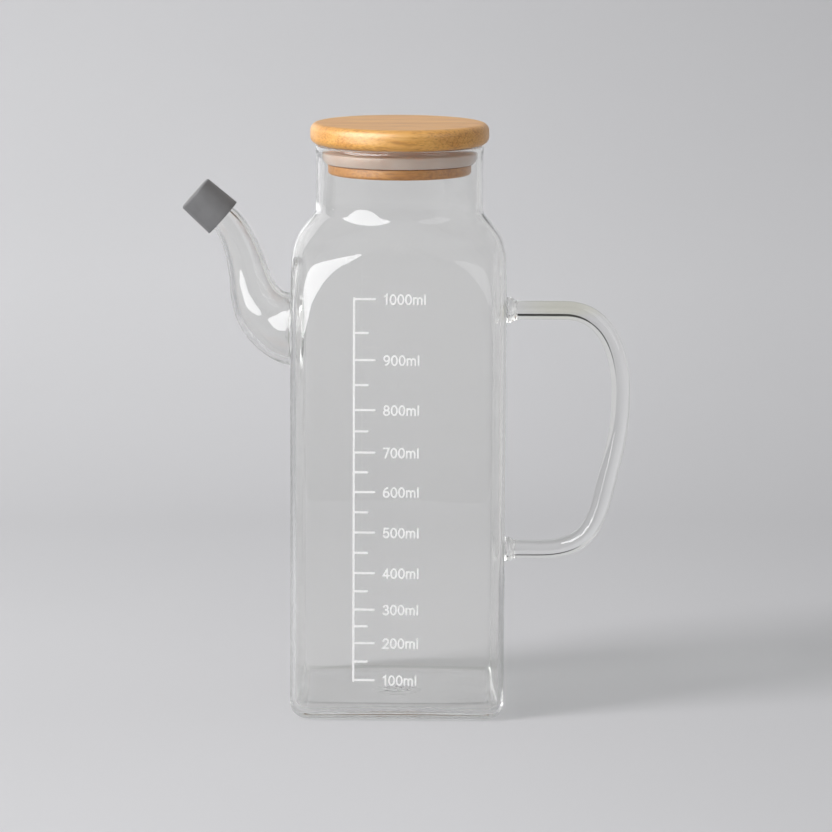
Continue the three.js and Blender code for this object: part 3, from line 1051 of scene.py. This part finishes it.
def straight_through(tree, matt_ray):
    """Light that isn't bent. Upright walls shade what lamps send through them, most at their edges."""
    edge = add(tree, "LayerWeight", Blend=0.35).outputs["Facing"]
    wall = ramp(
        tree, edge, (0.0, colour(243, 244, 243)), (0.75, colour(222, 223, 222)), (1.0, colour(150, 151, 150)),
    )
    slope = add(tree, "SeparateXYZ", Vector=add(tree, "NewGeometry").outputs["Normal"]).outputs["Z"]
    light = colour(*STRAIGHT_TONE)
    shade = blended(tree, maths(tree, "POWER", slope, 2.0), wall, light)
    return add(tree, "BsdfTransparent", Color=blended(tree, matt_ray, shade, light))


def clear_glass():
    """Clear glass that lets light straight through to matt surfaces, and after many turns in a wall."""
    made, tree = new_material("clear_glass")
    path = add(tree, "LightPath").outputs
    matt = maths(tree, "MAXIMUM", path["Is Shadow Ray"], path["Is Diffuse Ray"])
    spent = maths(tree, "GREATER_THAN", path["Ray Depth"], MOST_TURNS)
    straight = maths(tree, "MAXIMUM", matt, spent)
    bent, unbent = glass_itself(tree), straight_through(tree, path["Is Diffuse Ray"])
    finish_material(tree, add(tree, "MixShader", _0=straight, _1=bent.outputs[0], _2=unbent.outputs[0]))
    return made


def bamboo():
    """Oiled bamboo: fibres run one way, so they show as streaks along it and as dots across it. The plug
    below the rim has painted shade.
    """
    made, tree = new_material("bamboo")
    fibres = noise(tree, stretched(tree, (90, 1500, 1500), GRAIN_TURN), detail=3.0, roughness=0.6)
    bands = noise(tree, stretched(tree, (6, 150, 150), GRAIN_TURN))
    cloud = noise(tree, stretched(tree, (30, 30, 30)))
    fine = ramp(
        tree, fibres, (0.34, colour(150, 86, 22)), (0.5, colour(222, 156, 66)), (0.7, colour(240, 188, 108)),
    )
    broad = ramp(tree, bands, (0.3, colour(205, 138, 50)), (0.7, colour(236, 180, 94)))
    stain = ramp(tree, cloud, (0.3, colour(235, 226, 214)), (0.7, colour(255, 255, 255)))
    tone = blended(tree, STAIN_SHARE, blended(tree, BAND_SHARE, fine, broad), stain, "MULTIPLY")
    # Painted shade: the plug below the rim is darkened, where the neck and the seal shade it
    plug = rescaled(tree, object_place(tree)["Z"], RIM_TOP * MM, RIM_TOP * MM - PLUG_SHADE_FADE)
    tone = blended(tree, plug, tone, colour(*PLUG_PAINTED_SHADE), "MULTIPLY")
    relief = add(tree, "Bump", Strength=0.5, Distance=0.0002, Height=fibres).outputs["Normal"]
    rough = rescaled(tree, fibres, low=0.42, high=0.62)
    finish_material(tree, add(
        tree, "BsdfPrincipled", Base_Color=tone, Roughness=rough, Normal=relief, IOR=1.45,
        Coat_Weight=0.6, Coat_Roughness=0.35,
    ))
    return made


def clear_silicone():
    """Milky silicone that some light goes through."""
    made, tree = new_material("clear_silicone")
    cloud = noise(tree, stretched(tree, (120, 120, 60)))
    tone = ramp(tree, cloud, (0.3, colour(229, 205, 188)), (0.7, colour(239, 220, 206)))
    finish_material(tree, add(
        tree, "BsdfPrincipled", Base_Color=tone, Roughness=0.32, IOR=1.41, Subsurface_Weight=0.5,
        Subsurface_Radius=(1.0, 0.8, 0.7), Subsurface_Scale=0.002, Transmission_Weight=0.25,
    ))
    return made


def grey_silicone():
    """Matt grey silicone with a fine grain."""
    made, tree = new_material("grey_silicone")
    grain = noise(tree, stretched(tree, (2600, 2600, 2600)))
    cloud = noise(tree, stretched(tree, (160, 160, 160)), detail=3.0)
    tone = ramp(tree, cloud, (0.3, colour(103, 103, 104)), (0.7, colour(112, 112, 113)))
    relief = add(tree, "Bump", Strength=0.25, Distance=0.00008, Height=grain).outputs["Normal"]
    rough = rescaled(tree, cloud, low=0.62, high=0.74)
    finish_material(tree, add(
        tree, "BsdfPrincipled", Base_Color=tone, Roughness=rough, IOR=1.41, Normal=relief,
        Sheen_Weight=0.15, Sheen_Roughness=0.5,
    ))
    return made


def scale_print():
    """White print, a little worn."""
    made, tree = new_material("scale_print")
    wear = noise(tree, stretched(tree, (900, 900, 900)))
    tone = ramp(tree, wear, (0.25, colour(246, 246, 245)), (0.6, colour(254, 254, 253)))
    rough = rescaled(tree, wear, low=0.35, high=0.5)
    finish_material(tree, add(tree, "BsdfPrincipled", Base_Color=tone, Roughness=rough))
    return made


def studio_paper():
    """Matt paper with painted light and shade from front to back and towards its sides. Its back is clear."""
    made, tree = new_material("studio_paper")
    cloud = noise(tree, stretched(tree, (3, 3, 3)))
    tone = ramp(tree, cloud, (0.3, colour(206, 206, 208)), (0.7, colour(209, 209, 211)))
    place = object_place(tree)
    # Painted light and shade, multiplied in along Y and along X
    for way, reach, tones in (("Y", PAPER_DEPTH, PAPER_DEPTH_PAINTED_LIGHT), ("X", PAPER_SIDES, PAPER_SIDE_PAINTED_LIGHT)):
        stops = [(share, (level, level, level, 1.0)) for share, level in tones]
        shade = ramp(tree, rescaled(tree, place[way], *reach), *stops)
        tone = blended(tree, 1.0, tone, shade, "MULTIPLY")
    paper = add(tree, "BsdfPrincipled", Base_Color=tone, Roughness=0.9, Specular_IOR_Level=0.1)
    clear = add(tree, "BsdfTransparent")
    behind = add(tree, "NewGeometry").outputs["Backfacing"]
    finish_material(tree, add(tree, "MixShader", _0=behind, _1=paper.outputs[0], _2=clear.outputs[0]))
    return made


# Studio


def studio_sweep(material):
    """A pale floor that curves up into a backdrop, as one sheet."""
    profile = [(SWEEP_FRONT, 0.0), (SWEEP_BEND, 0.0)]
    for i in range(1, SWEEP_STEPS + 1):
        angle = SWEEP_END * i / SWEEP_STEPS
        profile.append((SWEEP_BEND + SWEEP_RADIUS * math.sin(angle), SWEEP_RADIUS * (1 - math.cos(angle))))
    shell = Shell()
    low = shell.ring([Vector((SWEEP_LEFT, y, z)) for y, z in profile])
    high = shell.ring([Vector((SWEEP_RIGHT, y, z)) for y, z in profile])
    for a, b, c, d in zip(low, low[1:], high[1:], high):
        shell.faces.append((a, d, c, b))
    sweep = shell.make("studio_sweep", material)
    if sweep.data.polygons[0].normal.z < 0:
        sweep.data.flip_normals()


def soft_lamp(name, place, target, size, power):
    """A rectangular soft lamp that faces a point. Its place is in metres."""
    data = bpy.data.lights.new(name, "AREA")
    data.shape = "RECTANGLE"
    data.size, data.size_y = size
    data.energy = power
    lamp = bpy.data.objects.new(name, data)
    lamp.location = place
    lamp.rotation_euler = (Vector(target) - Vector(place)).to_track_quat("-Z", "Y").to_euler()
    bpy.context.scene.collection.objects.link(lamp)
    return lamp


def reflector_card(name, around, above, distance, width, height, radiance):
    """A glowing oval card beside the bottle that leaves matt surfaces alone."""
    around, above = math.radians(around), math.radians(above)
    ahead = Vector((math.sin(around) * math.cos(above), -math.cos(around) * math.cos(above), math.sin(above)))
    area = math.pi * width * height / 4
    place = Vector(LAMP_TARGET) + ahead * distance
    card = soft_lamp(name, place, LAMP_TARGET, (width, height), radiance * math.pi * area)
    card.data.shape = "ELLIPSE"
    card.visible_camera = card.visible_diffuse = card.visible_transmission = False


def studio_world():
    """A pale room. Its gloss is dark in front, round the camera, and glass sees dark past the paper."""
    world = bpy.data.worlds.new("studio_world")
    world.use_nodes = True
    tree = world.node_tree
    tree.nodes.clear()
    path = add(tree, "LightPath").outputs
    way = add(tree, "SeparateXYZ", Vector=add(tree, "TexCoord").outputs["Generated"]).outputs
    front = rescaled(tree, way["Y"], -FRONT_EDGES[0], -FRONT_EDGES[1], SIDE_STRENGTH, FRONT_STRENGTH)
    behind = rescaled(tree, way["Y"], *BEHIND_EDGES, SIDE_STRENGTH, BEHIND_STRENGTH)
    soft = rescaled(tree, way["X"], -1.0, 1.0, DIFFUSE_LEFT, DIFFUSE_RIGHT)
    strength = front
    for ray, level in (
        ("Is Transmission Ray", behind),
        ("Is Diffuse Ray", soft),
        ("Is Camera Ray", CAMERA_STRENGTH),
    ):
        strength = add(tree, "Mix", Factor=path[ray], A=strength, B=level).outputs[0]
    background = add(tree, "Background", Color=ROOM_COLOUR, Strength=strength)
    output = tree.nodes.new("ShaderNodeOutputWorld")
    tree.links.new(background.outputs[0], output.inputs["Surface"])
    bpy.context.scene.world = world


def photo_camera():
    """The photograph's camera, solved from the bottle's outline."""
    data = bpy.data.cameras.new("camera")
    data.sensor_width = CAMERA_SENSOR
    data.lens = CAMERA_LENS
    data.clip_start, data.clip_end = CAMERA_CLIP
    camera = bpy.data.objects.new("camera", data)
    camera.location = CAMERA_PLACE
    level = Matrix.Rotation(-CAMERA_YAW, 3, "Z")
    tilt = Matrix.Rotation(QUARTER - CAMERA_PITCH, 3, "X")
    lean = Matrix.Rotation(CAMERA_ROLL, 3, "Z")
    camera.rotation_euler = (level @ tilt @ lean).to_euler()
    bpy.context.scene.collection.objects.link(camera)
    bpy.context.scene.camera = camera


photo_camera()
studio_world()
studio_sweep(studio_paper())
key = soft_lamp("key", KEY_PLACE, LAMP_TARGET, KEY_SIZE, KEY_POWER)
backdrop_lamp = soft_lamp(
    "backdrop_lamp", BACKDROP_LAMP_PLACE, BACKDROP_LAMP_TARGET, BACKDROP_LAMP_SIZE, BACKDROP_LAMP_POWER,
)
backdrop_lamp.data.spread = BACKDROP_LAMP_SPREAD
fill = soft_lamp("fill", FILL_PLACE, LAMP_TARGET, FILL_SIZE, FILL_POWER)
for lamp in (key, fill, backdrop_lamp):
    lamp.visible_glossy = lamp.visible_transmission = False
for card in CARDS:
    reflector_card(*card)

for piece, nodes, finish in (
    (glass_bottle(clear_glass()), ("glass_bottle",), "clear_glass"),
    (bamboo_lid(bamboo()), ("bamboo_lid",), "bamboo"),
    (silicone_seal(clear_silicone()), ("silicone_seal",), "clear_silicone"),
    (spout_cap(grey_silicone()), ("spout_cap",), "grey_silicone"),
    (volume_scale(scale_print()), (), "scale_print"),
):
    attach(piece, BODY)
    if nodes:
        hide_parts(*nodes)

bpy.context.scene.view_settings.view_transform = "Standard"
cycles = bpy.context.scene.cycles
cycles.max_bounces = cycles.glossy_bounces = cycles.transmission_bounces = LIGHT_BOUNCES
